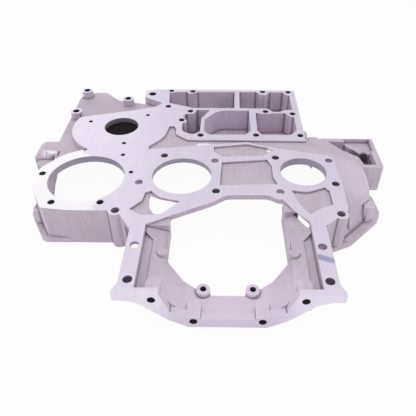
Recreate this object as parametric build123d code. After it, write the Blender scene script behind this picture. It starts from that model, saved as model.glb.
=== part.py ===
from build123d import *
import os

# Timing cover of an engine: one aluminium casting, shown block face up and gear side down.
# The drawing datum is the crankshaft's middle plane (X = 0), the sump face (Y = 0) and the
# front joint face (Z = 0). The finished part is moved to the middle of its footprint.

# Levels
depth = 50.0            # front joint face to block face
relief = 3.0            # step from a machined land down to the cast skin
right_drop = 4.0        # step from the lands down to the cast skin on the right
left_drop = 11.0        # step from the lands down to the cast roof at the upper left
plate_thick = 7.0       # plate with its machined lands
roof_thick = 5.0        # cast roof at the upper left
wall = 6.0              # walls of the gear space
inner_wall = 5.0        # walls inside the perimeter
lip_thick = 7.0         # front flange that stands out from the wall

# Bores through the plate: place, radius, and depth of the wall below the block face
pump_bore = (-170.7, 176.4, 45.5, 9.0)
idler_bore = (-56.1, 183.2, 36.0, plate_thick)
cam_bore = (92.6, 193.6, 28.3, 10.0)
drive_bore = (-148.7, 296.5, 23.2, 9.0)
bores = (pump_bore, idler_bore, cam_bore, drive_bore)
drive_land = 67.5       # land round the drive bore, as a radius
rim_wall = 5.5          # thickness of a bore's rim under the plate
rim_sides = 8           # a rim is eight-sided on the outside

# Bolt holes through the plate, grouped by radius
small_hole = 2.75
small_places = [
    (-194.4, 309.0), (-115.8, 328.5), (-138.2, 253.4), (-134.9, 225.8), (-186.3, 236.9), (-118.8, 188.5)]
medium_hole = 4.0
medium_places = [(-226.0, 184.0), (-200.2, 129.8), (-145.0, 130.7)]
bolt_hole = 4.7
bolt_places = [
    (-106.2, 168.6), (-81.5, 225.4), (-14.2, 153.3), (60.9, 153.2), (60.7, 223.0), (127.9, 217.5),
    (128.2, 169.3), (-16.5, 214.9)]
plate_holes = ((small_hole, small_places), (medium_hole, medium_places), (bolt_hole, bolt_places))
column_left = (-125.5, 117.2)
column_right = (124.7, 115.0)
column_radius = 8.5

# Outlines as (x, y, corner radius), clockwise seen from above
opening = [
    (88.7, 60.0), (88.7, 100.9), (73.9, 118.8, 30), (62.5, 139.0), (56.8, 139.4, 8), (48.1, 145.1, 8),
    (43.6, 146.5, 8), (3.2, 145.8, 8), (-2.6, 144.8), (-18.4, 132.8, 12), (-63.8, 109.0), (-88.7, 94.9),
    (-88.7, 60.0)]
left_side = [
    (-105.0, 88.0), (-119.8, 110.2), (-133.0, 116.2), (-181.0, 116.3, 20), (-209.7, 120.1),
    (-226.0, 147.5, 20), (-232.3, 165.0, 20), (-232.3, 196.0, 14)]
right_side = [
    (136.3, 192.0, 20), (136.0, 153.5, 20), (134.0, 122.0), (118.8, 107.5), (105.0, 96.0)]
ear_side = [(-127.5, 384.5), (-127.5, 405.0), (-110.0, 410.4), (105.0, 410.4)]
land_outer = left_side + [
    (-209.6, 226.1, 30), (-186.6, 238.1), (-160.0, 290.0), (-185.5, 328.5), (-136.8, 342.9, 30),
    (-106.0, 355.0, 10), (-98.7, 366.5)] + ear_side + [
    (105.0, 269.8), (-51.3, 268.7, 16), (-67.0, 276.0, 10), (-74.5, 298.3), (-81.5, 298.3),
    (-86.5, 269.0, 40), (-104.0, 247.5), (-104.0, 239.5), (-17.1, 252.7), (25.5, 259.0),
    (61.9, 245.0, 20), (127.0, 229.3, 10), (134.2, 222.0)] + right_side
plate_outer = left_side + [
    (-209.6, 226.1), (-186.6, 238.1), (-160.0, 290.0), (-185.5, 328.5), (-136.8, 342.9), (-98.0, 358.0),
    (-98.0, 404.0), (99.0, 404.0), (99.0, 279.0), (118.0, 262.0), (134.2, 222.0)] + right_side
drive_side = [
    (-120.0, 220.0), (-230.0, 220.0), (-230.0, 316.0), (-212.8, 320.8), (-136.8, 342.9), (-120.0, 345.0)]
roof_left = [
    (-238.0, 222.0, 10), (-243.0, 255.2), (-232.2, 275.0), (-232.2, 400.0), (-217.0, 418.0, 10),
    (-194.0, 418.4, 10), (-170.9, 393.5, 12)]
case_outer = left_side + roof_left + [
    (-127.0, 381.5), (-90.0, 381.5), (-90.0, 348.0), (-68.0, 334.0), (-68.0, 278.0), (-51.3, 262.0),
    (118.0, 262.0), (134.2, 222.0)] + right_side
roof_outer = [(-180.0, 240.0), (-209.0, 222.0), (-232.3, 192.0)] + roof_left + [
    (-127.0, 381.5), (-90.0, 381.5), (-90.0, 340.0), (-120.0, 250.0)]
tab_top = [(-225.0, 251.0), (-252.0, 251.0), (-252.0, 272.5), (-225.0, 272.5)]
tab_foot = [(-225.0, 244.0), (-259.0, 244.0), (-259.0, 272.5), (-225.0, 272.5)]
tab_bevel = 7.0         # height of the tab's sloping shoulder
chamber_outer = ear_side + [
    (105.0, 263.5), (-54.0, 263.5, 10), (-71.5, 278.0, 10), (-71.5, 334.0), (-96.0, 352.0), (-98.5, 366.0)]
right_top = [
    (110.0, 280.0), (122.0, 280.0), (148.4, 247.9), (168.6, 234.0), (170.3, 192.7), (168.0, 166.6),
    (138.5, 137.3), (123.0, 111.5), (110.0, 107.5)]
whole_outer = left_side + roof_left + ear_side + [(105.0, 289.0)] + right_top[1:7] + right_side[2:]
right_foot = [
    (110.0, 289.0), (128.0, 289.0), (157.0, 254.5), (180.0, 238.0), (181.0, 192.7), (178.0, 160.5),
    (143.5, 126.5), (124.0, 107.5), (110.0, 105.5)]
lip_left = [
    (-237.0, 214.0), (-242.0, 181.0, 30), (-241.0, 158.0, 20), (-234.0, 146.0, 30), (-218.0, 119.5),
    (-213.0, 116.0), (-184.0, 116.0), (-184.0, 124.0), (-206.0, 127.0), (-224.0, 160.0), (-226.0, 200.0)]
lip_right = [
    (180.0, 214.0), (187.2, 195.4, 20), (189.0, 168.0, 12), (184.5, 155.0, 12), (143.5, 114.0, 14),
    (119.5, 103.0), (104.0, 99.5), (104.0, 112.0), (122.0, 124.0), (165.0, 164.0), (168.0, 214.0)]

# Cast recesses in the lands, and the place where one is open to the gear space
recesses = [
    [(-18.4, 247.1), (25.4, 254.4), (61.7, 242.6), (45.0, 227.2), (-7.7, 224.0), (-18.2, 236.5)],
    [(-7.6, 211.8), (49.6, 218.7), (54.8, 205.0, 12), (54.5, 183.3, 12), (59.4, 167.5), (-9.7, 164.8),
     (-9.2, 182.2, 12)],
    [(74.6, 156.3), (92.0, 153.0, 20), (114.2, 162.6), (118.8, 156.0), (118.7, 130.7),
     (104.7, 124.4), (90.5, 114.0), (80.9, 130.9, 20)],
    [(-110.5, 120.0), (-98.0, 135.1, 10), (-96.3, 149.0), (-90.0, 152.5), (-78.1, 139.9, 20),
     (-55.0, 134.0), (-67.0, 119.9, 10), (-75.0, 111.3), (-96.0, 109.5)]]
breakthrough = [
    (-91.5, 146.5), (-78.1, 139.9, 12), (-56.5, 134.0), (-67.0, 121.0, 6), (-75.6, 114.7),
    (-83.0, 115.5, 6), (-89.5, 127.0, 6)]

# Sump end, mirrored about the crankshaft. Sections are (across, depth below the block face).
arm_outer = 105.0
arm_inner = 88.7
arm_thick = 10.0
arm_hole_inset = 9.0
arm_hole_along = (17.8, 63.7)
arm_relief = [(-103.0, 55.0), (-103.0, 86.0), (-90.0, 86.0), (-90.0, 55.0)]
arm_relief_left = 4.0   # metal left over the relief under the left arm
sump_end_long = 150.0   # how far the sump end's sections reach before they are trimmed
foot_step = 4.3
foot_long = 5.0
foot_flare = 13.0
band_thick = 8.0
groove_inner = 79.0
groove_depth = 8.5
groove_end = 78.5
groove_slant = 10.5     # the groove's end runs this much farther along at the arm
shoulder_drop = 4.4     # step from the arm down to the trough's shoulder
corner_inner = 60.0     # inner edge of the corners where the shoulder lies
pad_radius = 6.8
pad_long = 23.0
sump_hole = 3.9
sump_hole_deep = 20.0
outer_sump = (72.2, 8.8)
inner_sump = (33.8, 41.0)
band_top = [(0.0, 36.6), (28.0, 36.6), (45.0, 31.0), (56.0, 26.5), (64.5, 2.5), (65.7, 0.0)]
trough_top = [(0.0, 41.0), (30.0, 41.0), (46.0, 34.0), (60.0, 16.5), (64.0, 11.5), (groove_inner, 6.8)]
under_side = [
    (97.0, 10.5), (86.0, 14.0), (81.0, 17.5), (70.0, 28.0), (58.3, 39.0), (42.2, 48.0), (35.4, depth)]
window_edge = [(64.2, 56.0), (62.9, 54.6), (58.6, 51.5), (48.7, 46.2), (34.0, 40.2), (17.5, 33.2)]
trough_end_left = [(-88.7, 97.0), (-64.4, 110.5)]
trough_end_right = [(63.6, 139.5), (73.8, 121.4), (79.1, 109.8), (83.4, 100.9), (88.7, 94.3)]
seal_boss = (25.5, 36.5, 7.4)
seal_boss_drop = 35.5
seal_boss_hole = 3.2
side_boss = (68.0, 61.4, 5.4)
side_boss_drop = 6.5
side_boss_long = 14.0
rail_top = [(0.0, 45.0), (30.0, 45.0), (55.0, 35.0), (66.0, 25.0), (groove_inner, 12.0), (arm_inner, 9.0)]
rail_path = [(33.0, 9.5), (42.0, 15.0), (62.0, 25.0), (78.0, 35.0), (85.0, 47.0), (85.0, 90.0)]

# Water chamber at the far side
chamber_low = 12.0      # underside of the chamber
chamber_floor = 17.0    # floor of its compartments
compartments = [
    [(-90.2, 398.5), (-81.0, 401.7), (-63.8, 402.5), (-58.0, 394.8, 6), (-46.5, 402.5),
     (11.0, 403.6), (10.0, 351.8), (-52.0, 351.2, 8), (-64.0, 357.0, 8), (-88.8, 366.1, 6)],
    [(18.5, 403.7), (44.7, 404.3), (51.5, 395.0), (59.9, 395.0), (66.0, 403.5), (86.0, 403.5),
     (91.2, 396.0), (96.0, 392.0), (96.0, 348.5), (84.0, 347.0), (76.0, 341.5), (67.0, 341.5),
     (59.0, 351.3, 6), (18.0, 352.0)],
    [(-64.5, 326.0), (-60.8, 333.0), (-49.0, 334.2), (-45.5, 345.3), (-26.5, 345.3),
     (-38.0, 321.0, 12), (-38.5, 284.0), (-48.0, 277.0, 6), (-64.0, 285.0, 12), (-64.0, 306.0),
     (-57.5, 312.0)],
    [(-33.0, 318.0, 14), (-14.0, 344.0, 24), (31.5, 344.8), (32.0, 287.5), (24.0, 277.5),
     (-25.8, 277.5, 6), (-33.0, 286.0)],
    [(41.0, 338.5), (50.1, 335.5), (66.0, 337.5), (84.0, 338.3), (90.4, 329.0), (96.0, 326.8),
     (96.0, 290.9), (86.5, 278.0, 6), (47.0, 278.0), (41.0, 289.0)]]
chamber_hole = 3.2
chamber_hole_deep = 25.0
chamber_holes = [
    (-88.0, 405.6), (-54.5, 404.6), (55.0, 404.8), (95.1, 404.6), (-88.5, 355.4), (-54.8, 341.5),
    (55.7, 342.2), (94.7, 336.2), (-65.8, 315.7), (-37.3, 275.3), (38.5, 276.7), (99.0, 276.6)]
ear_hole = (-116.7, 394.8, 5.5)
web_lug = (36.5, 293.8, 4.5)
corner_boss = (102.2, 288.0, 8.5)

# Box on the right-hand wall, open at the top
box_outer = [(126.0, 282.5), (199.8, 282.5), (199.8, 215.6), (160.0, 215.6), (140.0, 250.0)]
box_inner = [(137.0, 276.0), (191.5, 276.0), (191.5, 222.0), (175.5, 222.0), (172.1, 237.8), (154.3, 254.0)]
box_drop = 8.0
box_bottom = 4.0
box_floor = 10.0
box_shelf = [(157.6, 281.0), (195.0, 281.0), (195.0, 254.0), (179.5, 253.8)]
box_shelf_drop = 14.0

# Bosses that stand up from the roof, and columns that stand on the front flange: place, radius
roof_bosses = [(-221.0, 405.0, 8.2), (-222.4, 338.6, 8.2), (-152.5, 379.2, 8.2)]
roof_boss_hole = 4.6
flange_columns = [(-224.5, 147.5, 7.0, 22.0), (168.0, 156.0, 7.4, 20.0)]

# Walls inside the gear space, as lines of points
core_gap = [(-113.0, 85.0), (-84.0, 85.0), (-84.0, 110.0), (-108.0, 119.0), (-114.0, 114.0)]
left_rail = [
    (-115.0, 108.0), (-115.0, 116.0), (-110.0, 122.0), (-99.0, 121.0), (-86.0, 110.0), (-71.0, 111.5)]
left_gusset = [(-88.9, 96.0), (-63.4, 96.3), (-64.0, 109.6), (-66.0, 113.0), (-88.9, 101.0)]
right_gusset = [(63.1, 120.8), (73.3, 122.2), (76.2, 118.5), (79.0, 122.0), (67.0, 142.0), (62.8, 139.4)]
gusset_thick = 13.0
right_undercut = [(75.6, 118.6), (88.4, 98.3), (88.9, 94.5), (86.0, 92.0), (72.0, 112.0)]
undercut_edge = 1.0     # metal left at the thin edge of the plate over an undercut
undercut_reach = 7.5    # how far an undercut runs in under the plate
roof_step = [(-232.2, 196.0), (-225.0, 210.0), (-229.0, 244.0), (-260.0, 244.0), (-260.0, 196.0)]
roof_step_drop = 23.0
roof_slot = (-225.4, 243.5, 2.5, 12.0, 6.0)

# Humps on the roof: foot outline, the point it narrows to, share of its width left at the top, and
# the drop of the top below the block face
roof_fold = (
    [(-219.8, 341.6), (-214.3, 356.8), (-176.0, 391.5), (-127.0, 380.0), (-127.0, 345.0), (-185.0, 325.0)],
    (-140.0, 352.0), 0.5, 6.0)
land_ramp = (
    [(-222.0, 250.5), (-209.3, 272.0), (-195.0, 262.0), (-185.0, 240.0), (-200.0, 220.0), (-222.0, 216.0)],
    (-195.0, 240.0), 0.5, 1.0)
tab_ledge = ([(-257.0, 249.3), (-227.0, 249.5), (-225.2, 235.0), (-255.9, 235.0)], (-232.0, 250.0), 0.8, 9.0)
# Floor under the step beside the tab
step_floor = [(-240.0, 214.0), (-240.0, 250.0), (-224.0, 250.0), (-224.0, 214.0)]


def outline(corners):
    """Face inside (x, y, corner radius) points; a point without a radius is a sharp corner."""
    points = [corner[:2] for corner in corners]
    radii = [corner[2] if len(corner) > 2 else 0 for corner in corners]
    return make_face(FilletPolyline(*points, radius=radii, close=True))


def inset(corners, distance):
    """The corners moved inward and left sharp, square to both sides that meet there. They run clockwise."""
    moved = []
    for before, here, after in zip(corners[-1:] + corners[:-1], corners, corners[1:] + corners[:1]):
        place = Vector(*here[:2])
        arriving = (place - Vector(*before[:2])).normalized()
        leaving = (Vector(*after[:2]) - place).normalized()
        inward = Vector(arriving.Y + leaving.Y, -arriving.X - leaving.X)
        place += inward * (distance / (1 + arriving.dot(leaving)))
        moved.append((place.X, place.Y))
    return moved


def prism(face, low, high):
    """The face stood up between two levels."""
    return Pos(0, 0, low) * extrude(face, high - low)


def post(x, y, radius, low, high):
    """Upright round post between two levels."""
    return prism(Pos(x, y) * Circle(radius), low, high)


def both_sides(points):
    """A right-hand line of points, continued by its mirror image."""
    return points + [(-x, y) for x, y in reversed(points) if x > 0]


def section(top, low, high):
    """The sump end's section under a top line, stood along Y from one place to the other."""
    half = top + [(arm_outer + foot_step, 0.0), (arm_outer + foot_step, arm_thick)] + under_side
    face = make_face(Polyline(*[(x, depth - down) for x, down in both_sides(half[::-1])], close=True))
    return Pos(0, high, 0) * Rot(90, 0, 0) * extrude(face, high - low)


def lidded(top, foot, high, low=0.0):
    """A body with leaning sides between a top outline and a foot outline."""
    return loft([Pos(0, 0, high) * top, Pos(0, 0, low) * foot], ruled=True)


def hump(corners, middle, share, drop, low):
    """A body that narrows towards a point as it rises, all its sides flat."""
    foot = outline(corners)
    place = Pos(*middle)
    top = place * scale(place.inverse() * foot, by=share)
    return lidded(top, foot, depth - drop, low)


def strip(points, width, low, high):
    """An upright wall along a line of points."""
    return prism(trace(Polyline(*points), line_width=width), low, high)


def undercut(corners, high):
    """A cut that leans in under the plate, away from the sump end, from a level down to the ceiling."""
    top = outline(corners)
    foot = Pos(0, undercut_reach) * top
    return lidded(top, foot, high, ceiling) + prism(top, ceiling, high) + prism(foot, 0, ceiling)


drive_round = Pos(*drive_bore[:2]) * Circle(drive_land) & outline(drive_side)
land = outline(land_outer) + drive_round
plate = outline(plate_outer) + drive_round
roof_level = depth - left_drop
right_level = depth - right_drop
ceiling = depth - plate_thick


def shell():
    """Plate, roofs and walls, open to the gear side."""
    left_roof = prism(outline(roof_outer), 0, roof_level)
    left_roof += prism(outline(tab_foot), 0, roof_level - tab_bevel)
    left_roof += lidded(outline(tab_top), outline(tab_foot), roof_level, roof_level - tab_bevel)
    step_level = depth - roof_step_drop
    left_roof -= prism(outline(roof_step), step_level, depth)
    left_roof += hump(*tab_ledge, step_level) + hump(*roof_fold, roof_level) + hump(*land_ramp, roof_level)
    slot_x, slot_y, slot_wide, slot_long, slot_deep = roof_slot
    left_roof -= Pos(slot_x, slot_y, roof_level) * Box(slot_wide, slot_long, 2 * slot_deep)
    right_body = lidded(outline(right_top), outline(right_foot), right_level)
    body = prism(plate, 0, depth - relief) + left_roof + right_body
    body += prism(land, ceiling, depth)
    body -= prism(outline(inset(case_outer, wall)), 0, roof_level - roof_thick)
    body -= prism(outline(inset(whole_outer, wall)), 0, chamber_low)
    body -= prism(outline(inset(plate_outer, wall)), 0, ceiling)
    body -= post(*drive_bore[:2], drive_land - wall, 0, roof_level - roof_thick)
    drive_space = Pos(*drive_bore[:2]) * Circle(drive_land - wall) & outline(inset(drive_side, wall))
    body -= prism(drive_space, 0, ceiling)
    inner_top = outline(inset(right_top, wall))
    inner_foot = outline(inset(right_foot, wall))
    body -= lidded(inner_top, inner_foot, right_level - roof_thick)
    return body + prism(outline(step_floor), step_level - roof_thick, step_level)


def chamber():
    """Block of the water chamber, with the boss on its near corner."""
    body = prism(outline(chamber_outer), chamber_low, depth)
    return body + post(*corner_boss, 0, depth - right_drop)


def side_box():
    """Open box on the right-hand wall."""
    top = depth - box_drop
    body = prism(outline(box_outer), box_bottom, top)
    pocket = prism(outline(box_inner), box_floor, depth) - prism(outline(box_shelf), box_floor, depth)
    pocket += prism(outline(box_shelf), depth - box_shelf_drop, depth)
    return body, pocket


def flange():
    """Front flange, with the columns that stand on it."""
    body = prism(outline(lip_left), 0, lip_thick) + prism(outline(lip_right), 0, lip_thick)
    for x, y, radius, drop in flange_columns:
        body += post(x, y, radius, 0, depth - drop)
    for x, y in (column_left, column_right):
        body += post(x, y, column_radius, 0, depth)
    for x, y, radius in roof_bosses:
        body += post(x, y, radius, 0, depth)
    return body


def rims():
    """Rims of the bores, under the plate."""
    body = Part()
    for x, y, radius, deep in (pump_bore, cam_bore, drive_bore):
        rim = RegularPolygon(radius + rim_wall, rim_sides, major_radius=False)
        body += prism(Pos(x, y) * rim, depth - deep, ceiling)
    return body


def sump_end():
    """Arms, seal band and trough, with the rail under them, before any hole."""
    band = section(band_top, 0, band_thick)
    groove = [(groove_inner, groove_depth), (arm_inner, groove_depth), (arm_inner, 0.0)]
    trough = section(trough_top + groove, band_thick, sump_end_long)
    shoulder = section(trough_top + [(arm_inner, shoulder_drop), (arm_inner, 0.0)], groove_end, sump_end_long)
    half = [(arm_outer + foot_step, 0.0), (arm_outer + foot_step, foot_long), (arm_outer, foot_flare)]
    right = half + [(arm_outer, 103.0)] + trough_end_right[::-1] + window_edge
    left = [(-x, y) for x, y in half] + [(-arm_outer, 94.0)] + trough_end_left
    left += [(-x, y) for x, y in window_edge]
    plan = make_face(Polyline(*right, *left[::-1], close=True))
    corner = outline([
        (groove_inner, groove_end), (arm_inner, groove_end + groove_slant), (arm_inner, sump_end_long),
        (corner_inner, sump_end_long), (corner_inner, groove_end)])
    corners = prism(corner + mirror(corner, about=Plane.YZ), 0, depth)
    body = band + trough + (shoulder & corners)
    rail = strip(rail_path, inner_wall, 0, depth)
    body += (rail + mirror(rail, about=Plane.YZ)) & section(rail_top, 0, sump_end_long)
    body &= prism(plan, 0, depth)
    return body


def sump_bosses():
    """Pads behind the sump holes, seal bosses and side bosses."""
    body = Part()
    for side in (-1, 1):
        for across, down in (outer_sump, inner_sump):
            pad = SlotOverall(2 * pad_long, 2 * pad_radius, rotation=90)
            crest = depth - down + pad_radius
            low = max(crest - 3 * pad_radius, 0)
            body += prism(Pos(side * across, 0) * pad, low, crest)
        x, y, radius = seal_boss
        body += post(side * x, y, radius, 0, depth - seal_boss_drop)
        x, y, radius = side_boss
        body += post(side * x, y, radius, depth - side_boss_drop - side_boss_long, depth - side_boss_drop)
    return body & Box(2 * arm_outer, 4 * pad_long, 2 * depth, align=(Align.CENTER, Align.MIN, Align.CENTER))


def all_cuts():
    """Everything cut out of the casting."""
    cut = side_box()[1] + prism(outline(breakthrough), 0, depth) + undercut(breakthrough, depth - relief)
    cut += prism(outline(arm_relief), 0, depth - arm_relief_left)
    for corners in compartments:
        cut += prism(outline(corners), chamber_floor, depth) - post(*web_lug, 0, depth)
    for corners in recesses:
        cut += prism(outline(corners), depth - relief, depth)
    for x, y, radius, deep in bores:
        cut += post(x, y, radius, 0, depth)
    for radius, places in plate_holes:
        for x, y in places:
            cut += post(x, y, radius, 0, depth)
    for x, y in (column_left, column_right):
        cut += post(x, y, bolt_hole, 0, depth)
    for x, y in chamber_holes:
        cut += post(x, y, chamber_hole, depth - chamber_hole_deep, depth)
    x, y, radius = ear_hole
    cut += post(x, y, radius, depth - chamber_hole_deep, depth)
    for x, y, radius in roof_bosses:
        cut += post(x, y, roof_boss_hole, depth - chamber_hole_deep, depth)
    for side in (-1, 1):
        for y in arm_hole_along:
            cut += post(side * (arm_outer - arm_hole_inset), y, bolt_hole, 0, depth)
        for across, down in (outer_sump, inner_sump):
            drill = Cylinder(sump_hole, 2 * sump_hole_deep, rotation=(90, 0, 0))
            cut += Pos(side * across, 0, depth - down) * drill
        cut += post(side * seal_boss[0], seal_boss[1], seal_boss_hole, lip_thick / 2, depth)
    return cut


def casting():
    """The whole casting in the drawing datum."""
    body = shell() + chamber() + side_box()[0] + flange() + rims()
    body -= prism(outline(opening), 0, depth) + prism(outline(core_gap), 0, ceiling)
    body += strip(left_rail, inner_wall, 0, ceiling)
    for corners in (left_gusset, right_gusset):
        body += prism(outline(corners), depth - relief - gusset_thick, depth - relief)
    body -= undercut(right_undercut, depth - undercut_edge)
    body += sump_end() + sump_bosses()
    return body - all_cuts()


def main():
    body = casting()
    box = body.bounding_box()
    middle = box.center()
    os.makedirs("parts", exist_ok=True)
    export_step(Pos(-middle.X, -middle.Y, -box.min.Z) * body, "parts/timing_cover.step")


if __name__ == "__main__":
    main()
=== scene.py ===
import math
from collections import namedtuple

import bmesh
import bpy
import numpy
from bpy.props import FloatProperty, FloatVectorProperty, IntProperty, PointerProperty
from bpy.types import Operator, Panel, PropertyGroup
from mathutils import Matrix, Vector
from mathutils.bvhtree import BVHTree
from mathutils.kdtree import KDTree


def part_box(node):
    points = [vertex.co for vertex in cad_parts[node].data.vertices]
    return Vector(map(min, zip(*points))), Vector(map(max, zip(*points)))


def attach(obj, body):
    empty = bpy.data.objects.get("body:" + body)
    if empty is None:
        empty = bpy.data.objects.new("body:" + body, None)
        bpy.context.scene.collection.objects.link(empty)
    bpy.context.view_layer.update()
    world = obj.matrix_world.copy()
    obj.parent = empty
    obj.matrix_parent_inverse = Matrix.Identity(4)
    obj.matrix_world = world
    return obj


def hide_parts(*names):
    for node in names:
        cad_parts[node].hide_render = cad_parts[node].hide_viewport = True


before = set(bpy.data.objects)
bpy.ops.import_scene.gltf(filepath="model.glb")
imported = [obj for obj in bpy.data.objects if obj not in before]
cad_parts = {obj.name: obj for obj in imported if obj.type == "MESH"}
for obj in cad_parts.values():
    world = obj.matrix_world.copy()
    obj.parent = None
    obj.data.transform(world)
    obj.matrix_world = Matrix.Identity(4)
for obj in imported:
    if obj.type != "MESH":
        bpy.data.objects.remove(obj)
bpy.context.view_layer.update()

bl_info = {
    "name": "Timing Cover",
    "version": (1, 0, 0),
    "blender": (4, 5, 0),
    "location": "3D View > Sidebar > Timing Cover",
    "description": "Dresses the packed timing cover in milled and cast aluminium, and sets its studio",
    "category": "Object",
}

NODE = "timing_cover"
MM = 0.001
LOW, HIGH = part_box(NODE)
# From the drawing datum (crank mid-plane, sump face, front joint face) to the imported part's own frame
SHIFT = Vector((29.6 * MM, LOW.y, LOW.z))

# Finishes of the casting's faces, in the order of its material slots
CAST, MILLED, BORED, DRILLED, CLEARED = range(5)

# Holes of the casting, by radius. Tapped holes beyond the line of the chambers are countersunk.
CLEARANCE = 4.7 * MM
TAPPED = [radius * MM for radius in (3.2, 3.9, 4.6, 5.5)]
LIKE = 0.1 * MM         # how far a tapped hole's radius may be from the listed one
BOLT_LIMIT = 7 * MM     # bolt holes are narrower than this
BORE_LIMIT = 15 * MM    # bores are wider than this
CHAMBER_LINE = SHIFT.y + 260 * MM

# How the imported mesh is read
WELD = 0.002 * MM               # corners nearer than this are one
SHARP = math.radians(28)        # faces that meet at more than this have an edge between them
TRUE_ROUND = 0.15 * MM          # how far the corners of a round hole may lie from its circle
MILLED_LEVEL = 0.1              # how far a milled face may lie from its plane, in millimetres

ALONG, ASIDE = 0.99, 0.03       # part of a normal that points along an axis, or aside from it

# How edges are rounded
SMOOTH_TURN = math.radians(35)  # an edge runs on into the next one if it turns by less than this
CURVED_TURN = math.radians(3)   # and it is part of a bend if it turns by more than this
WEDGE = math.radians(40)        # two edges that leave a corner closer than this get the narrow rounding
WEDGE_ROUNDING = 0.3 * MM
SAMPLE = 1.5 * MM               # spacing of the points that measure the room along an edge
SHARE = 0.35                    # of the way to its neighbours that a rounding may take
BEND_SHARE = 0.5                # of its tightest bend's radius that a rounding may take
SUNK_SHARE = 1.3                # of an edge's room that a countersink may take
LOOK = 3                        # widest roundings that an edge looks out for its neighbours
STRAY = 0.9                     # of the widest rounding: a corner further off the surface is a stray
NEW_FACE = 0.03 * MM            # a face whose middle is further off the surface was made by the rounding

# Gain of a finish's colour on open metal, away from creases, with their grime and painted shade, and from
# edges, with their rubbing and painted highlights
OPEN_METAL = 1.5
# Painted shade and light: bored walls are the milled colour made darker, and clearance holes the drilled
# colour made lighter
BORED_PAINTED_SHADE = 0.44
CLEARED_PAINTED_LIGHT = 4.4

# Gauze across the drive bore, near black as painted shade, in the drawing datum: middle, radius, upper face,
# thickness, in millimetres
GAUZE = (-148.7, 296.5, 23.3, 43.0, 1.0)

# Places where the metal is painted another tone, mostly as painted light or shade, in the drawing datum:
# middle, turn in degrees, half length, half width and half height in millimetres, colour, strength, how far
# its full tone reaches
CAST_PATCHES = (
    ((0, 5, 30), 0, 86, 66, 90, (0.64, 0.56, 0.66), 0.75, 0.5),         # trough and seal band, lighter
    ((-205, 345, 44), 35, 80, 60, 90, (0.40, 0.345, 0.405), 0.5, 0.5),  # roof, darker: painted shade
    ((150, 190, 45), -60, 60, 32, 90, (0.60, 0.53, 0.62), 0.5, 0.5),    # top of the right body, lighter: painted light
    ((-240, 246, 40), 0, 15, 5.5, 9, (0.80, 0.74, 0.82), 0.85, 0.5),    # shoulder of the left tab, lighter: painted highlight
    ((183, 243, 26), 0, 9.5, 19, 16, (0.03, 0.025, 0.035), 0.92, 0.9),  # painted shade: near-black pocket of the side box
    ((162, 262, 30), -33, 20, 9, 14, (0.10, 0.085, 0.11), 0.85, 0.8),   # painted shade: dark cleft beside it
    ((-32, 256, 44), 0, 11, 3, 9, (0.88, 0.86, 0.89), 0.9, 0.9),        # painted highlights: bright white spots by the recess
    ((-22, 247, 44), 0, 3, 4, 9, (0.88, 0.86, 0.89), 0.9, 0.9),
    ((57, 243, 44), 0, 7, 4.5, 9, (0.88, 0.86, 0.89), 0.9, 0.9),
    ((3, 377, 34), 0, 100, 26.8, 21, (0.36, 0.35, 0.40), 0.9, 0.9),     # far compartments, darker: painted shade
    ((16, 311, 34), 0, 82, 34.5, 21, (0.485, 0.455, 0.52), 0.9, 0.9),   # near compartments, bluer
    ((4, 288, 17), 0, 34, 13, 4, (0.86, 0.82, 0.90), 0.85, 0.4),        # painted light: bright floor of one of them
)
MILLED_PATCHES = (
    # The left lobe, cut in the cutter's last pass, is painted brighter as a painted reflection, up to a
    # slanted line across the pump bore
    ((-215, 165, 50), -68, 88, 60, 90, (0.92, 0.89, 0.93), 0.9, 1.25),
    # A blue-grey band lies across the right arm
    ((96, 47, 50), -20, 16, 4.5, 90, (0.26, 0.26, 0.38), 0.8, 0.5),
    # The sump face is painted darker in its middle: painted shade
    ((0, 0, 10), 0, 75, 60, 60, (0.47, 0.41, 0.49), 0.75, 0.5),
)

# The stage: half width of the floor and its gap under the part, the floor's share of plain white, the
# lamps' names, places, widths and powers, and the camera fitted to the bores and the block face
FLOOR_HALF = 3.0
FLOOR_GAP = 0.2 * MM
FLOOR_WHITE = 0.95
LAMPS = (
    ("overhead", (0.0, 0.2, 1.6), 1.2, "key_power"),
    ("behind", (-0.8, 1.35, 0.75), 1.0, "back_power"),
    ("left", (-1.3, 0.1, 0.9), 1.0, "fill_power"),
    ("right", (1.3, 0.1, 0.9), 1.0, "fill_power"),
)
CAMERA_PLACE = (-7.40, -276.04, 391.0)
CAMERA_TURN = (50.009, -0.306, 0.577)
CAMERA_LENS = {"sensor_width": 36.0, "lens": 40.69, "shift_x": -0.0281, "shift_y": -0.0111,
               "clip_start": 0.01, "clip_end": 30.0}

Hole = namedtuple("Hole", "centre axis radius low high")


def datum(x, y, z=0.0):
    """A place in the drawing datum, in millimetres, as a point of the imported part."""
    return Vector((x, y, z)) * MM + SHIFT


# Values a user would change

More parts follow.
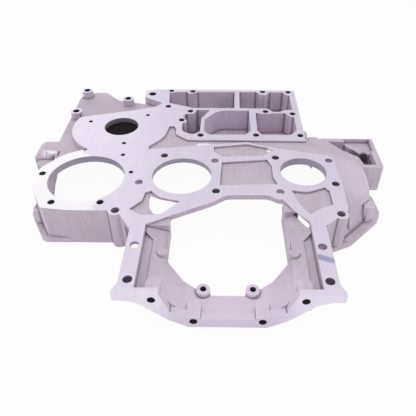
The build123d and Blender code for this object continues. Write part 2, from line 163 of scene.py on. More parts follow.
class CastingValues(PropertyGroup):
    """Shapes and finishes of the casting."""
    milled_chamfer: FloatProperty(
        name="Milled edge", description="Width of the broken edge round milled faces",
        default=0.45 * MM, min=0.0, precision=5, unit="LENGTH")
    countersink: FloatProperty(
        name="Countersink", description="Width of the countersink of the tapped holes round the chambers",
        default=1.2 * MM, min=0.0, precision=5, unit="LENGTH")
    cast_radius: FloatProperty(
        name="Cast edge", description="Widest rounding of cast edges and corners, where there is room",
        default=2.4 * MM, min=0.0, precision=5, unit="LENGTH")
    milled_colour: FloatVectorProperty(
        name="Milled aluminium", description="Colour of the milled faces", subtype="COLOR",
        size=4, default=(0.645, 0.585, 0.735, 1.0), min=0.0, max=1.0)
    cast_colour: FloatVectorProperty(
        name="Cast skin", description="Colour of the raw cast skin", subtype="COLOR",
        size=4, default=(0.485, 0.42, 0.49, 1.0), min=0.0, max=1.0)
    # Near black: oil on the hole walls, and painted shade inside the holes
    drilled_colour: FloatVectorProperty(
        name="Drilled holes", description="Colour of the oily_and_shaded walls of drilled and tapped holes",
        subtype="COLOR", size=4, default=(0.08, 0.066, 0.09, 1.0), min=0.0, max=1.0)
    grain: FloatProperty(
        name="Cast grain", description="Size of the grain of the cast skin",
        default=0.9 * MM, min=0.1 * MM, precision=5, unit="LENGTH")
    feed: FloatProperty(
        name="Milling feed", description="Spacing of the cutter's marks on milled faces",
        default=0.8 * MM, min=0.1 * MM, precision=5, unit="LENGTH")
    # The crease value darkens creases for grime and painted shade; the value below lightens edges for rubbing
    # and painted highlights
    crease: FloatProperty(
        name="Crease dirt", description="How much darker the skin is in its creases",
        default=0.75, min=0.0, max=1.0)
    wear: FloatProperty(
        name="Edge wear", description="How much lighter the skin is along its worn edges",
        default=0.25, min=0.0, max=1.0)


class ThreadValues(PropertyGroup):
    """Threads of the tapped holes, as shares of each hole's radius."""
    pitch: FloatProperty(
        name="Pitch", description="Rise of one turn, as a share of the hole's radius",
        default=0.34, min=0.05, max=1.0)
    tooth: FloatProperty(
        name="Tooth", description="Height of the thread, as a share of the hole's radius",
        default=0.11, min=0.01, max=0.4)
    turns: IntProperty(
        name="Turns", description="Turns of thread in each hole", default=7, min=1, max=30)


class StageValues(PropertyGroup):
    """Studio round the part."""
    key_power: FloatProperty(
        name="Overhead lamp", description="Power of the large soft lamp above",
        default=3.0, min=0.0, unit="POWER")
    fill_power: FloatProperty(
        name="Side lamps", description="Power of the soft lamps at the left and the right",
        default=2.3, min=0.0, unit="POWER")
    back_power: FloatProperty(
        name="Back lamp",
        description="Power of the large soft lamp low behind, which the milled faces mirror",
        default=1.5, min=0.0, unit="POWER")
    sky: FloatProperty(
        name="Room light", description="Strength of the even light of the room",
        default=0.56, min=0.0, max=2.0)


# Pieces

def settle(piece):
    """The finished piece is attached to the root body."""
    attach(piece, "root")
    return piece


def new_object(name, data):
    """A mesh, a lamp or a camera put in the scene under a name."""
    piece = bpy.data.objects.new(name, data)
    bpy.context.scene.collection.objects.link(piece)
    return piece


def worked_in(context, piece):
    """The piece with its modifiers worked into a plain mesh, which is given back."""
    context.view_layer.update()
    finished = bpy.data.meshes.new_from_object(piece.evaluated_get(context.evaluated_depsgraph_get()))
    piece.modifiers.clear()
    piece.data = finished
    return finished


# Nodes

def feed(tree, node, inputs):
    """Each input, by name or number, gets its value or a link from another node's output."""
    for label, value in inputs.items():
        if isinstance(value, bpy.types.NodeSocket):
            tree.links.new(value, node.inputs[label])
        else:
            node.inputs[label].default_value = value


def add(tree, kind, place, inputs=None, **settings):
    """A node at a place in its tree, with its settings and its inputs."""
    node = tree.nodes.new(kind)
    node.location = place
    for key, value in settings.items():
        setattr(node, key, value)
    feed(tree, node, inputs or {})
    return node


def calc(tree, place, operation, *inputs):
    """The result of a math node on numbers and on the outputs of other nodes."""
    return add(tree, "ShaderNodeMath", place, dict(enumerate(inputs)), operation=operation).outputs[0]


def scaled(tree, place, colour, gain):
    """A colour made lighter or darker by a gain."""
    node = add(tree, "ShaderNodeVectorMath", place, {0: colour, "Scale": gain}, operation="SCALE")
    return node.outputs[0]


def carried(tree, place, value, old, new, **settings):
    """A value carried from its old range to a new one."""
    labels = ("Value", "From Min", "From Max", "To Min", "To Max")
    inputs = dict(zip(labels, (value, *old, *new)))
    return add(tree, "ShaderNodeMapRange", place, inputs, **settings).outputs[0]


def on_piece(tree):
    """The place on the piece, in its own coordinates."""
    return add(tree, "ShaderNodeTexCoord", (-1100, -300)).outputs["Object"]


# Shader groups: each is built on its first use, and GROUPS lists them by name

def group_of(name, inputs, outputs):
    """An empty shader group: its tree, the outputs of its start and its end node."""
    tree = bpy.data.node_groups.new(name, "ShaderNodeTree")
    for label, kind, value in inputs:
        socket = tree.interface.new_socket(label, in_out="INPUT", socket_type="NodeSocket" + kind)
        socket.default_value = value
    for label, kind in outputs:
        tree.interface.new_socket(label, in_out="OUTPUT", socket_type="NodeSocket" + kind)
    return tree, add(tree, "NodeGroupInput", (-900, 0)).outputs, add(tree, "NodeGroupOutput", (900, 0))


COLOUR = ("Color", "Color", (0.8, 0.8, 0.8, 1))


def cloud_group(name):
    """Soft uneven tone of a metal surface, as a colour."""
    tree, given, end = group_of(
        name, [COLOUR, ("Patch size", "Float", 0.04), ("Strength", "Float", 0.06)],
        [("Color", "Color"), ("Mask", "Float")])
    scale = calc(tree, (-700, -200), "DIVIDE", 1.0, given["Patch size"])
    noise = add(tree, "ShaderNodeTexNoise", (-500, -250), {
        "Vector": on_piece(tree), "Scale": scale, "Detail": 5.0, "Roughness": 0.62}).outputs["Fac"]
    centred = calc(tree, (-300, -250), "SUBTRACT", noise, 0.5)
    amount = calc(tree, (-120, -200), "MULTIPLY", centred, given["Strength"])
    gain = calc(tree, (60, -200), "MULTIPLY_ADD", amount, 2.0, 1.0)
    feed(tree, end, {"Color": scaled(tree, (300, 0), given["Color"], gain), "Mask": noise})


def streak_group(name):
    """Faint streaks drawn front to back and down the walls, as a mould and a cutter leave them."""
    tree, given, end = group_of(
        name, [COLOUR, ("Width", "Float", 0.004), ("Strength", "Float", 0.1)], [("Color", "Color")])
    drawn = add(tree, "ShaderNodeVectorMath", (-700, -300), {0: on_piece(tree), 1: (1.0, 0.08, 0.08)},
                operation="MULTIPLY").outputs[0]
    scale = calc(tree, (-700, -150), "DIVIDE", 1.0, given["Width"])
    noise = add(tree, "ShaderNodeTexNoise", (-450, -250), {
        "Vector": drawn, "Scale": scale, "Detail": 3.0}).outputs["Fac"]
    darkest = calc(tree, (-200, -50), "SUBTRACT", 1.0, given["Strength"])
    lightest = calc(tree, (-200, 120), "ADD", 1.0, given["Strength"])
    gain = carried(tree, (0, -250), noise, (0.3, 0.7), (darkest, lightest))
    feed(tree, end, {"Color": scaled(tree, (300, 0), given["Color"], gain)})


def grain_group(name):
    """Height of a raw cast skin: fine grain with shallow pits."""
    tree, given, end = group_of(
        name, [("Grain size", "Float", 0.001), ("Pits", "Float", 0.4)], [("Height", "Float")])
    where = on_piece(tree)
    scale = calc(tree, (-700, -200), "DIVIDE", 1.0, given["Grain size"])
    fine = add(tree, "ShaderNodeTexNoise", (-450, 0), {"Vector": where, "Scale": scale, "Detail": 3.0})
    broad = calc(tree, (-700, -420), "MULTIPLY", scale, 0.22)
    cells = add(tree, "ShaderNodeTexVoronoi", (-450, -350), {"Vector": where, "Scale": broad})
    pit = carried(tree, (-200, -350), cells.outputs["Distance"], (0.02, 0.22), (1.0, 0.0),
                  interpolation_type="SMOOTHSTEP")
    deep = calc(tree, (0, -300), "MULTIPLY", pit, given["Pits"])
    feed(tree, end, {"Height": calc(tree, (250, 0), "SUBTRACT", fine.outputs["Fac"], deep)})


def mill_group(name):
    """Height of a milled face: the arcs that a large face cutter leaves on its way across."""
    tree, given, end = group_of(
        name, [("Feed", "Float", 0.001), ("Cutter radius", "Float", 0.09)], [("Height", "Float")])
    place = add(tree, "ShaderNodeSeparateXYZ", (-900, -200), {0: on_piece(tree)}).outputs
    # The cutter's centre runs along X in passes one cutter wide, so each pass has its own arcs
    lane = calc(tree, (-700, -400), "DIVIDE", place["Y"], given["Cutter radius"])
    share = calc(tree, (-520, -400), "FRACT", lane)
    middle = calc(tree, (-340, -400), "SUBTRACT", share, 0.5)
    square = calc(tree, (-160, -400), "POWER", middle, 2.0)
    bow = calc(tree, (20, -400), "MULTIPLY", square, given["Cutter radius"])
    along = calc(tree, (200, -200), "ADD", bow, place["X"])
    wave = calc(tree, (380, -200), "DIVIDE", along, given["Feed"])
    turn = calc(tree, (540, -200), "MULTIPLY", wave, 2 * math.pi)
    feed(tree, end, {"Height": calc(tree, (700, -200), "SINE", turn)})


def patch_group(name):
    """A soft-edged patch of another tone, at a place and with its own three directions, over a colour."""
    tree, given, end = group_of(
        name, [COLOUR, ("Place", "Vector", (0, 0, 0)), ("Along", "Vector", (1, 0, 0)),
               ("Across", "Vector", (0, 1, 0)), ("Up", "Vector", (0, 0, 1)),
               ("Tone", "Color", (1, 1, 1, 1)), ("Strength", "Float", 0.5), ("Core", "Float", 0.5)],
        [("Color", "Color")])
    where = on_piece(tree)
    offset = add(tree, "ShaderNodeVectorMath", (-700, -200), {0: where, 1: given["Place"]},
                 operation="SUBTRACT").outputs[0]
    ragged = add(tree, "ShaderNodeTexNoise", (-700, -500), {"Vector": where, "Scale": 130.0})
    squares = []
    for label, level in (("Along", -100), ("Across", -300), ("Up", -500)):
        part = add(tree, "ShaderNodeVectorMath", (-500, level), {0: offset, 1: given[label]},
                   operation="DOT_PRODUCT").outputs["Value"]
        squares.append(calc(tree, (-320, level), "POWER", part, 2.0))
    flat = calc(tree, (-140, -200), "ADD", squares[0], squares[1])
    far = calc(tree, (-60, -400), "ADD", flat, squares[2])
    rough = calc(tree, (20, -300), "MULTIPLY_ADD", ragged.outputs["Fac"], 0.5, far)
    inside = carried(tree, (200, -200), rough, (given["Core"], 1.4), (1.0, 0.0),
                     interpolation_type="SMOOTHSTEP")
    amount = calc(tree, (400, -200), "MULTIPLY", inside, given["Strength"])
    mixed = add(tree, "ShaderNodeMix", (620, 0), {
        "Factor": amount, "A": given["Color"], "B": given["Tone"]}, data_type="RGBA")
    feed(tree, end, {"Color": mixed.outputs["Result"]})


def edge_group(name):
    """Grime and painted shade in creases, and rubbing and painted highlights on edges, laid over a colour;
    reads the casting's own edge_tone.
    """
    tree, given, end = group_of(
        name, [COLOUR, ("Crease", "Float", 0.5), ("Wear", "Float", 0.1), ("Reach", "Float", 0.008)],
        [("Color", "Color")])
    tone = add(tree, "ShaderNodeAttribute", (-900, -300), attribute_name="edge_tone").outputs["Fac"]
    # Painted shade: creases, where edge_tone is below nought, are made darker, for grime and shade
    dirt_and_shade = calc(tree, (-600, -200), "MINIMUM", tone, 0.0)
    # Painted highlight: outer edges, where edge_tone is above nought, are made lighter, for rubbing and
    # highlight
    worn_and_highlit = calc(tree, (-600, -420), "MAXIMUM", tone, 0.0)
    # Painted shade: ambient occlusion darkens the colour in nooks
    nook = add(tree, "ShaderNodeAmbientOcclusion", (-600, -620), {"Distance": given["Reach"]},
               samples=8, only_local=True).outputs["AO"]
    shade = carried(tree, (-400, -620), nook, (0.15, 0.75), (-1.0, 0.0))
    both = calc(tree, (-200, -300), "MULTIPLY_ADD", shade, 0.6, dirt_and_shade)
    creased = calc(tree, (0, -250), "MULTIPLY_ADD", both, given["Crease"], OPEN_METAL)
    gain = calc(tree, (200, -250), "MULTIPLY_ADD", worn_and_highlit, given["Wear"], creased)
    feed(tree, end, {"Color": scaled(tree, (400, 0), given["Color"], gain)})


GROUPS = {"Uneven tone": cloud_group, "Drawn streaks": streak_group, "Cast grain": grain_group,
          "Milling arcs": mill_group, "Toned patch": patch_group, "Creases and wear": edge_group}


def placed(tree, name, place, inputs):
    """A shared group put in a material, with that material's own inputs."""
    if name not in bpy.data.node_groups:
        GROUPS[name](name)
    node = add(tree, "ShaderNodeGroup", place, node_tree=bpy.data.node_groups[name])
    feed(tree, node, inputs)
    return node


# Materials

def metal(name, metallic, roughness):
    """A node material, its tree and its Principled shader."""
    material = bpy.data.materials.new(name)
    material.use_nodes = True
    surface = material.node_tree.nodes["Principled BSDF"]
    feed(material.node_tree, surface, {"Metallic": metallic, "Roughness": roughness})
    return material, material.node_tree, surface


def bumped(tree, surface, height, strength, distance):
    """The height felt by the shader as relief."""
    bump = add(tree, "ShaderNodeBump", (-100, -400), {
        "Height": height, "Strength": strength, "Distance": distance})
    feed(tree, surface, {"Normal": bump.outputs["Normal"]})


def uneven(tree, colour, size, strength):
    """A plain colour made uneven, as the node that does it."""
    return placed(tree, "Uneven tone", (-700, 200), {
        "Color": colour, "Patch size": size, "Strength": strength})


def streaked(tree, colour, width, strength):
    """A colour with faint streaks."""
    streaks = placed(tree, "Drawn streaks", (-480, 0), {
        "Color": colour, "Width": width, "Strength": strength})
    return streaks.outputs["Color"]


def toned(tree, colour, middle, angle, long, wide, high, tone, strength, core):
    """A patch over a colour: its middle in the drawing datum, its turn and its half sizes in millimetres."""
    turn = math.radians(angle)
    along = Vector((math.cos(turn), math.sin(turn), 0)) / (long * MM)
    across = Vector((-math.sin(turn), math.cos(turn), 0)) / (wide * MM)
    patch = placed(tree, "Toned patch", (-480, 400), {
        "Color": colour, "Place": datum(*middle), "Along": along, "Across": across,
        "Up": (0, 0, 1 / (high * MM)), "Tone": (*tone, 1.0), "Strength": strength, "Core": core})
    return patch.outputs["Color"]


def edged(tree, surface, colour, values, crease, reach):
    """The colour with grime and painted shade in its creases and rubbing and painted highlights on its edges,
    given to the shader.
    """
    edges = placed(tree, "Creases and wear", (-250, 200), {
        "Color": colour, "Crease": crease * values.crease, "Wear": values.wear, "Reach": reach})
    feed(tree, surface, {"Base Color": edges.outputs["Color"]})


def patched(tree, colour, patches):
    """A colour with a row of patches laid over it."""
    for patch in patches:
        colour = toned(tree, colour, *patch)
    return colour


def rough_from(tree, surface, tone, low, high):
    """Roughness that follows the uneven tone between two values."""
    rough = carried(tree, (-250, -150), tone.outputs["Mask"], (0.0, 1.0), (low, high))
    feed(tree, surface, {"Roughness": rough})


def cast_material(values):
    """Raw cast skin: matt, grainy and slightly uneven in tone."""
    material, tree, surface = metal("cast_skin", 0.25, 0.6)
    tone = uneven(tree, values.cast_colour, 0.03, 0.16)
    fleck = placed(tree, "Uneven tone", (-480, 200), {
        "Color": tone.outputs["Color"], "Patch size": 0.0035, "Strength": 0.20})
    colour = streaked(tree, fleck.outputs["Color"], 4 * MM, 0.055)
    edged(tree, surface, patched(tree, colour, CAST_PATCHES), values, 1.0, 11 * MM)
    rough_from(tree, surface, tone, 0.5, 0.7)
    grain = placed(tree, "Cast grain", (-500, -350), {"Grain size": values.grain, "Pits": 0.35})
    bumped(tree, surface, grain.outputs["Height"], 0.5, 0.12 * MM)
    return material


def milled_material(values):
    """Milled face: bright, with the faint arcs of the face cutter."""
    material, tree, surface = metal("milled_face", 0.5, 0.36)
    tone = uneven(tree, values.milled_colour, 0.05, 0.05)
    colour = streaked(tree, tone.outputs["Color"], 3 * MM, 0.035)
    edged(tree, surface, patched(tree, colour, MILLED_PATCHES), values, 0.3, 3 * MM)
    rough_from(tree, surface, tone, 0.30, 0.44)
    arcs = placed(tree, "Milling arcs", (-500, -350), {"Feed": values.feed, "Cutter radius": 0.11})
    bumped(tree, surface, arcs.outputs["Height"], 0.12, 0.01 * MM)
    return material


def hole_wall(values, name, metallic, roughness, colour, size, strength, crease, reach):
    """A hole's wall in one uneven colour: the material, its tree and its shader."""
    material, tree, surface = metal(name, metallic, roughness)
    tone = uneven(tree, colour, size, strength)
    edged(tree, surface, tone.outputs["Color"], values, crease, reach)
    return material, tree, surface


def bored_material(values):
    """Bored and turned walls: the milled metal painted darker as painted shade, with fine rings."""
    colour = [BORED_PAINTED_SHADE * c for c in values.milled_colour[:3]] + [1.0]
    material, tree, surface = hole_wall(values, "bored_wall", 0.45, 0.42, colour, 0.03, 0.05, 0.15, 6 * MM)
    rings = add(tree, "ShaderNodeTexWave", (-500, -400), {"Vector": on_piece(tree), "Scale": 900.0},
                bands_direction="Z")
    bumped(tree, surface, rings.outputs["Fac"], 0.2, 0.02 * MM)
    return material


def drilled_material(values):
    """Walls of drilled and tapped holes: dark with oil and with painted shade."""
    return hole_wall(values, "drilled_wall", 0.5, 0.42, values.drilled_colour, 0.004, 0.2, 1.0, 6 * MM)[0]


def cleared_material(values):
    """Walls of clearance holes, painted lighter than drilled ones as painted light, since light reaches them
    from both ends.
    """
    colour = [min(CLEARED_PAINTED_LIGHT * c, 1.0) for c in values.drilled_colour[:3]] + [1.0]
    return hole_wall(values, "clearance_wall", 0.4, 0.5, colour, 0.004, 0.2, 0.45, 4 * MM)[0]


def gauze_material():
    """Woven gauze, near black: painted shade of the deep drive bore."""
    material, tree, surface = metal("dark_gauze", 0.0, 0.85)
    weave = add(tree, "ShaderNodeTexChecker", (-700, 0), {
        "Vector": on_piece(tree), "Scale": 1 / (1.6 * MM),
        "Color1": (0.004, 0.003, 0.005, 1), "Color2": (0.024, 0.019, 0.028, 1)})
    feed(tree, surface, {"Base Color": weave.outputs["Color"], "Specular IOR Level": 0.15})
    return material


# The casting

def welded_form():
    """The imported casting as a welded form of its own."""
    form = bmesh.new()
    form.from_mesh(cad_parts[NODE].data)
    bmesh.ops.remove_doubles(form, verts=form.verts, dist=WELD)
    return form


def smooth_groups(form):
    """Groups of faces that meet without an edge between them."""
    seen = set()
    for first in form.faces:
        if first in seen:
            continue
        seen.add(first)
        group = [first]
        for face in group:
            for edge in face.edges:
                if len(edge.link_faces) == 2 and edge.calc_face_angle(0) < SHARP:
                    near = [other for other in edge.link_faces if other not in seen]
                    seen.update(near)
                    group.extend(near)
        yield group


def round_hole(group):
    """The hole whose wall a group of faces is, or None."""
    for axis in (2, 1):
        if all(abs(face.normal[axis]) < ASIDE for face in group):
            break
    else:
        return None
    u, v = [i for i in range(3) if i != axis]
    points = [corner.co for face in group for corner in face.verts]
    table = numpy.array([(2 * p[u], 2 * p[v], 1.0) for p in points])
    squares = numpy.array([p[u] ** 2 + p[v] ** 2 for p in points])
    a, b, c = map(float, numpy.linalg.lstsq(table, squares, rcond=None)[0])
    radius = math.sqrt(max(c + a * a + b * b, 0.0))
    if any(abs(math.hypot(p[u] - a, p[v] - b) - radius) > TRUE_ROUND for p in points):
        return None
    middles = [face.calc_center_median() for face in group]
    faces_out = any((m[u] - a) * face.normal[u] + (m[v] - b) * face.normal[v] > 0
                    for m, face in zip(middles, group))
    # The wall goes all the way round if nearly every twelfth of the circle has a face
    twelfths = {round(math.atan2(m[v] - b, m[u] - a) / math.radians(30)) for m in middles}
    if faces_out or len(twelfths) < 11:
        return None
    centre = Vector((0, 0, 0))
    centre[u], centre[v] = a, b
    low, high = min(p[axis] for p in points), max(p[axis] for p in points)
    return Hole(centre, axis, radius, low, high)


def finish_of(face, hole):
    """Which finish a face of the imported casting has."""
    if hole and hole.radius < BOLT_LIMIT:
        return CLEARED if abs(hole.radius - CLEARANCE) < LIKE / 2 else DRILLED
    if hole and hole.radius > BORE_LIMIT:
        return BORED
    x, y, z = (face.calc_center_median() - SHIFT) / MM
    block_face = face.normal.z > ALONG and z > (HIGH.z - LOW.z) / MM - MILLED_LEVEL
    front_face = face.normal.z < -ALONG and z < MILLED_LEVEL
    sump_face = face.normal.y < -ALONG and y < MILLED_LEVEL
    return MILLED if block_face or front_face or sump_face else CAST


def chains(edges):
    """Sharp edges strung together where two of them run on, with each string's tightest bend."""
    owner = {}
    found = []
    for first in edges:
        if first in owner:
            continue
        string, bend = [first], 1.0
        owner[first] = len(found)
        for edge in string:
            for corner in edge.verts:
                near = [other for other in corner.link_edges if other in edges]
                if len(near) != 2:
                    continue
                other = near[0] if near[1] is edge else near[1]
                ahead = other.other_vert(corner).co - corner.co
                behind = corner.co - edge.other_vert(corner).co
                turn = ahead.angle(behind, 0.0)
                if turn > SMOOTH_TURN:
                    continue
                if turn > CURVED_TURN:
                    bend = min(bend, (ahead.length + behind.length) / 2 / turn)
                if other not in owner:
                    owner[other] = len(found)
                    string.append(other)
        found.append((string, bend))
    return found, owner


def room_for_rounding(edges, widest):
    """How wide each sharp edge may be rounded before it meets its neighbours."""
    found, owner = chains(edges)
    samples = []
    for number, (string, bend) in enumerate(found):
        for edge in string:
            start, end = (corner.co for corner in edge.verts)
            count = max(1, int(edge.calc_length() / SAMPLE))
            samples += [(start.lerp(end, (i + 0.5) / count), number) for i in range(count)]
    tree = KDTree(len(samples))
    for index, (place, number) in enumerate(samples):
        tree.insert(place, index)
    tree.balance()
    lengths = [sum(edge.calc_length() for edge in string) for string, bend in found]
    touching = [{owner[other] for edge in string for corner in edge.verts
                 for other in corner.link_edges if other in edges} for string, bend in found]
    room = [min([widest, BEND_SHARE * bend] + [SHARE * lengths[n] for n in touching[number]])
            for number, (string, bend) in enumerate(found)]
    for corner in {corner for edge in edges for corner in edge.verts}:
        around = [edge for edge in corner.link_edges if edge in edges]
        for index, one in enumerate(around):
            for two in around[index + 1:]:
                ways = [edge.other_vert(corner).co - corner.co for edge in (one, two)]
                if ways[0].angle(ways[1], 1.0) < WEDGE:
                    for edge in (one, two):
                        room[owner[edge]] = min(room[owner[edge]], WEDGE_ROUNDING)
    for place, number in samples:
        for near, index, distance in tree.find_range(place, LOOK * widest):
            if samples[index][1] not in touching[number]:
                room[number] = min(room[number], SHARE * distance)
    return {edge: room[number] for edge, number in owner.items()}


def marked_copy(values):
    """The casting as a mesh with its edges marked for rounding, the widest rounding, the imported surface,
    and the middle and reach of each countersink."""
    form = welded_form()
    weight = form.edges.layers.float.new("bevel_weight_edge")
    sunk, mouths = set(), []
    for group in smooth_groups(form):
        hole = round_hole(group)
        if (hole and hole.axis == 2 and abs(hole.radius - TAPPED[0]) < LIKE
                and hole.centre.y > CHAMBER_LINE):
            sunk.update(group)
            mouths.append((hole.centre, hole.radius + values.countersink))
        for face in group:
            face.smooth = True
            face.material_index = finish_of(face, hole)
    # A dict, not a set, so that the edges come in the same order each run
    edges = dict.fromkeys(edge for edge in form.edges
                          if len(edge.link_faces) == 2 and edge.calc_face_angle(0) > SHARP)
    room = room_for_rounding(edges, values.cast_radius)
    widest = max(values.milled_chamfer, values.cast_radius)
    for edge in edges:
        finishes = [face.material_index for face in edge.link_faces]
        cut = any(finish != CAST for finish in finishes)
        edge[weight] = min(values.milled_chamfer if cut else values.cast_radius, room[edge]) / widest
        if MILLED in finishes and sunk.intersection(edge.link_faces):
            edge[weight] = min(values.countersink, SUNK_SHARE * room[edge]) / widest
    mesh = bpy.data.meshes.new("casting")
    form.to_mesh(mesh)
    surface = BVHTree.FromBMesh(form)
    form.free()
    return mesh, widest, surface, mouths


def settle_rounding(mesh, surface, widest, mouths):
    """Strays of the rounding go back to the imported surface, and its new faces get their tone and finish."""
    for corner in mesh.vertices:
        near, normal, index, distance = surface.find_nearest(corner.co)
        if distance > STRAY * widest:
            corner.co = near
        corner.co = [min(max(c, low), high) for c, low, high in zip(corner.co, LOW, HIGH)]
    tone = mesh.attributes.new("edge_tone", "FLOAT", "FACE")
    for face in mesh.polygons:
        near, normal, index, distance = surface.find_nearest(face.center)
        if distance > NEW_FACE:
            # Outer edges get +1, for rubbing and a painted highlight; creases get -1, for grime and painted
            # shade
            tone.data[face.index].value = 1.0 if (face.center - near).dot(normal) < 0 else -1.0
            if any((face.center - mouth).xy.length < reach for mouth, reach in mouths):
                face.material_index = DRILLED


class COVER_OT_dress_casting(Operator):
    """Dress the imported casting: break its edges and give each surface its finish."""
    bl_idname = "cover.dress_casting"
    bl_label = "Dress the casting"

    def execute(self, context):
        values = context.scene.cover_casting
        mesh, widest, surface, mouths = marked_copy(values)
        for finish in (cast_material, milled_material, bored_material, drilled_material, cleared_material):
            mesh.materials.append(finish(values))
        casting = new_object("casting", mesh)
        bevel = casting.modifiers.new("Broken edges", "BEVEL")
        bevel.limit_method = "WEIGHT"
        bevel.width = widest
        bevel.segments = 2
        bevel.use_clamp_overlap = False
        bevel.loop_slide = False
        flat = casting.modifiers.new("Flat faces", "WEIGHTED_NORMAL")
        flat.mode = "FACE_AREA"
        flat.weight = 100
        flat.keep_sharp = True
        settle_rounding(worked_in(context, casting), surface, widest, mouths)
        settle(casting)
        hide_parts(NODE)
        return {"FINISHED"}


# The threads

def thread_tree():
    """Geometry nodes: a turned tooth on each given point, sized and turned by the point's own values."""
    tree = bpy.data.node_groups.new("Tapped threads", "GeometryNodeTree")
    for label, kind in (("Geometry", "Geometry"), ("Pitch", "Float"), ("Tooth", "Float"), ("Turns", "Int"),
                        ("Finish", "Material")):
        tree.interface.new_socket(label, in_out="INPUT", socket_type="NodeSocket" + kind)
    tree.interface.new_socket("Geometry", in_out="OUTPUT", socket_type="NodeSocketGeometry")
    given = add(tree, "NodeGroupInput", (-900, 0)).outputs
    height = calc(tree, (-700, -200), "MULTIPLY", given["Pitch"], given["Turns"])
    helix = add(tree, "GeometryNodeCurveSpiral", (-450, -150), {
        "Resolution": 24, "Rotations": given["Turns"], "Start Radius": 1.0, "End Radius": 1.0,
        "Height": height})
    tooth = add(tree, "GeometryNodeCurvePrimitiveCircle", (-450, -450), {
        "Resolution": 3, "Radius": given["Tooth"]})
    swept = add(tree, "GeometryNodeCurveToMesh", (-200, -200), {
        "Curve": helix.outputs["Curve"], "Profile Curve": tooth.outputs["Curve"], "Fill Caps": True})
    size, way = (
        add(tree, "GeometryNodeInputNamedAttribute", place, {"Name": label},
            data_type="FLOAT_VECTOR").outputs["Attribute"]
        for label, place in (("hole_size", (-200, 200)), ("hole_way", (-200, 400))))
    turned = add(tree, "FunctionNodeAlignRotationToVector", (50, 350), {"Vector": way}, axis="Z")
    threads = add(tree, "GeometryNodeInstanceOnPoints", (300, 0), {
        "Points": given["Geometry"], "Instance": swept.outputs["Mesh"],
        "Rotation": turned.outputs["Rotation"], "Scale": size})
    real = add(tree, "GeometryNodeRealizeInstances", (520, 0), {"Geometry": threads.outputs["Instances"]})
    finish = add(tree, "GeometryNodeSetMaterial", (740, 0), {
        "Geometry": real.outputs["Geometry"], "Material": given["Finish"]})
    add(tree, "NodeGroupOutput", (1100, 0), {"Geometry": finish.outputs["Geometry"]})
    return tree


def tapped_holes():
    """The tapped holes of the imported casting: mouth, way in, radius and depth."""
    form = welded_form()
    found = []
    for hole in map(round_hole, smooth_groups(form)):
        if hole and min(abs(hole.radius - radius) for radius in TAPPED) < LIKE:
            # Upright holes open upwards, and the others open at the sump face
            upright = hole.axis == 2
            mouth, way = hole.centre.copy(), Vector((0, 0, 0))
            mouth[hole.axis] = hole.high if upright else hole.low
            way[hole.axis] = -1.0 if upright else 1.0
            found.append((mouth, way, hole.radius, hole.high - hole.low))
    form.free()
    return found


class COVER_OT_cut_threads(Operator):
    """Put the threads into the tapped holes."""
    bl_idname = "cover.cut_threads"
    bl_label = "Cut the threads"

    def execute(self, context):
        values = context.scene.cover_threads
        holes = tapped_holes()
        if not holes:
            raise RuntimeError("no tapped hole was found in the casting")
        long = values.pitch * values.turns + 3 * values.tooth
        starts = [mouth + 2 * values.tooth * radius * way for mouth, way, radius, deep in holes]
        mesh = bpy.data.meshes.new("hole_threads")
        mesh.from_pydata(starts, [], [])
        size = mesh.attributes.new("hole_size", "FLOAT_VECTOR", "POINT")
        facing = mesh.attributes.new("hole_way", "FLOAT_VECTOR", "POINT")
        for index, (mouth, way, radius, deep) in enumerate(holes):
            size.data[index].vector = (radius, radius, min(radius, deep / long))
            facing.data[index].vector = way
        threads = new_object("hole_threads", mesh)
        nodes = threads.modifiers.new("Tapped threads", "NODES")
        nodes.node_group = thread_tree()
        given = {"Pitch": values.pitch, "Tooth": values.tooth, "Turns": values.turns,
                 "Finish": bpy.data.materials["drilled_wall"]}
        for socket in nodes.node_group.interface.items_tree:
            if socket.in_out == "INPUT" and socket.name in given:
                nodes[socket.identifier] = given[socket.name]
        worked_in(context, threads)
        settle(threads)
        return {"FINISHED"}


# The gauze

class COVER_OT_fit_gauze(Operator):
    """Fit the near-black gauze, painted shade, that closes the drive bore."""
    bl_idname = "cover.fit_gauze"
    bl_label = "Fit the gauze"

    def execute(self, context):
        x, y, radius, top, thick = GAUZE
        form = bmesh.new()
        bmesh.ops.create_cone(form, cap_ends=True, segments=64, radius1=radius * MM, radius2=radius * MM,
                              depth=thick * MM)
        bmesh.ops.translate(form, verts=form.verts, vec=datum(x, y, top - thick / 2))
        mesh = bpy.data.meshes.new("drive_bore_gauze")
        form.to_mesh(mesh)
        form.free()
        mesh.materials.append(gauze_material())
        settle(new_object("drive_bore_gauze", mesh))
        return {"FINISHED"}


# The stage

def white_floor():
    """Floor that looks white to the camera and keeps the part's shadow."""
    material, tree, surface = metal("pale_floor", 0.0, 0.9)
    feed(tree, surface, {"Base Color": (0.9, 0.9, 0.9, 1)})
    path = add(tree, "ShaderNodeLightPath", (-600, 200)).outputs
    seen = calc(tree, (-400, 200), "MAXIMUM", path["Is Camera Ray"], path["Is Glossy Ray"])
    glow = add(tree, "ShaderNodeEmission", (0, -300))
    mix = add(tree, "ShaderNodeMixShader", (300, 0), {
        "Fac": calc(tree, (-200, 200), "MULTIPLY", seen, FLOOR_WHITE),
        1: surface.outputs[0], 2: glow.outputs[0]})
    feed(tree, tree.nodes["Material Output"], {"Surface": mix.outputs[0]})
    return material


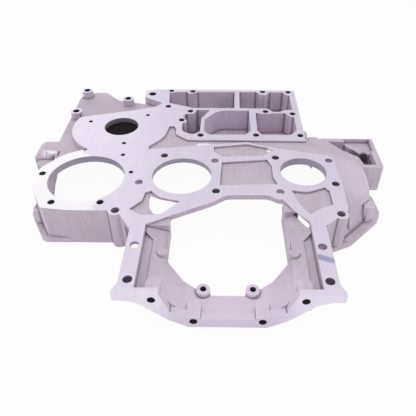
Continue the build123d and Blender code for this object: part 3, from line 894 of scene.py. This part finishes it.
def room(strength):
    """Even white room light, and plain white to the camera."""
    world = bpy.data.worlds.new("room")
    world.use_nodes = True
    tree = world.node_tree
    light = tree.nodes["Background"]
    feed(tree, light, {"Color": (1, 1, 1, 1), "Strength": strength})
    white = add(tree, "ShaderNodeBackground", (0, -200), {"Color": (1, 1, 1, 1)})
    path = add(tree, "ShaderNodeLightPath", (-300, 200)).outputs
    mix = add(tree, "ShaderNodeMixShader", (300, 0), {
        "Fac": path["Is Camera Ray"], 1: light.outputs[0], 2: white.outputs[0]})
    feed(tree, tree.nodes["World Output"], {"Surface": mix.outputs[0]})
    bpy.context.scene.world = world


def lamp(name, place, size, power):
    """A soft square lamp that looks at the part."""
    light = bpy.data.lights.new(name, "AREA")
    light.shape = "SQUARE"
    light.size = size
    light.energy = power
    shown = new_object(name, light)
    shown.location = place
    shown.rotation_euler = (Vector() - Vector(place)).to_track_quat("-Z", "Y").to_euler()


def photo_camera():
    """Camera at the photograph's place."""
    data = bpy.data.cameras.new("photo_camera")
    for key, value in CAMERA_LENS.items():
        setattr(data, key, value)
    camera = new_object("photo_camera", data)
    camera.location = datum(*CAMERA_PLACE)
    camera.rotation_euler = [math.radians(angle) for angle in CAMERA_TURN]
    bpy.context.scene.camera = camera


class COVER_OT_set_stage(Operator):
    """Set the floor, the room light, the lamps and the camera."""
    bl_idname = "cover.set_stage"
    bl_label = "Set the stage"

    def execute(self, context):
        values = context.scene.cover_stage
        corners = [(x * FLOOR_HALF, y * FLOOR_HALF, LOW.z - FLOOR_GAP)
                   for x, y in ((-1, -1), (1, -1), (1, 1), (-1, 1))]
        mesh = bpy.data.meshes.new("floor")
        mesh.from_pydata(corners, [], [(0, 1, 2, 3)])
        mesh.materials.append(white_floor())
        new_object("floor", mesh)
        room(values.sky)
        for name, place, size, power in LAMPS:
            lamp(name, place, size, getattr(values, power))
        photo_camera()
        context.scene.view_settings.view_transform = "Standard"
        return {"FINISHED"}


# The add-on

class COVER_PT_tools(Panel):
    """Tools of the timing cover."""
    bl_idname = "COVER_PT_tools"
    bl_label = "Timing Cover"
    bl_space_type = "VIEW_3D"
    bl_region_type = "UI"
    bl_category = "Timing Cover"

    def draw(self, context):
        for step in STEPS:
            self.layout.operator(step.bl_idname)
        for values in (context.scene.cover_casting, context.scene.cover_threads, context.scene.cover_stage):
            box = self.layout.box()
            for name in values.__annotations__:
                box.prop(values, name)


STEPS = (COVER_OT_dress_casting, COVER_OT_cut_threads, COVER_OT_fit_gauze, COVER_OT_set_stage)
CLASSES = (CastingValues, ThreadValues, StageValues, *STEPS, COVER_PT_tools)


def register():
    for each in CLASSES:
        bpy.utils.register_class(each)
    bpy.types.Scene.cover_casting = PointerProperty(type=CastingValues)
    bpy.types.Scene.cover_threads = PointerProperty(type=ThreadValues)
    bpy.types.Scene.cover_stage = PointerProperty(type=StageValues)


def unregister():
    del bpy.types.Scene.cover_stage
    del bpy.types.Scene.cover_threads
    del bpy.types.Scene.cover_casting
    for each in reversed(CLASSES):
        bpy.utils.unregister_class(each)


def main():
    register()
    bpy.ops.cover.dress_casting()
    bpy.ops.cover.cut_threads()
    bpy.ops.cover.fit_gauze()
    bpy.ops.cover.set_stage()


if __name__ == "__main__":
    main()
